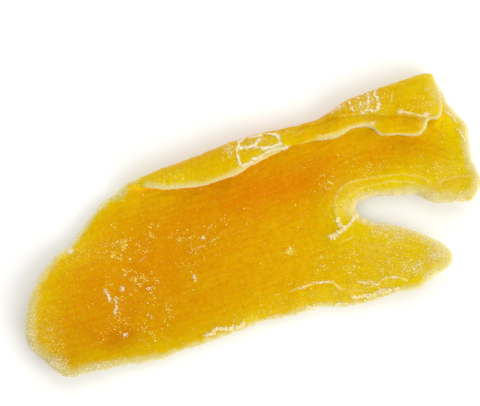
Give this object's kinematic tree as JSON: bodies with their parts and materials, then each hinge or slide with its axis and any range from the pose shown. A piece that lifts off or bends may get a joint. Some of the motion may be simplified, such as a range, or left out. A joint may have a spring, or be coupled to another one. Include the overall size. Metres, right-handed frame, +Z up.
{
  "type": "candied mango slice",
  "caption": "Forked slice of candied mango that lies flat, its long upper edge folded back over its face, with a pale rim and a light sugar frost.",
  "frame": {"origin": "Centre of the bottom of the slice's box, on the surface that it lies on.", "axes": "+X along the slice towards its fork, +Y towards its folded edge, +Z up, out of the face that shows."},
  "size_m": [0.126, 0.053, 0.0109],
  "materials": {
    "fruit": "Moist, slightly translucent candied fruit flesh, orange at its thick middle, lemon yellow towards its ends and pale at its thin rim.",
    "sugar": "White to cream sugar frost and crystals."
  },
  "bodies": {
    "root": {"mango_slice": "fruit"}
  },
  "joints": []
}
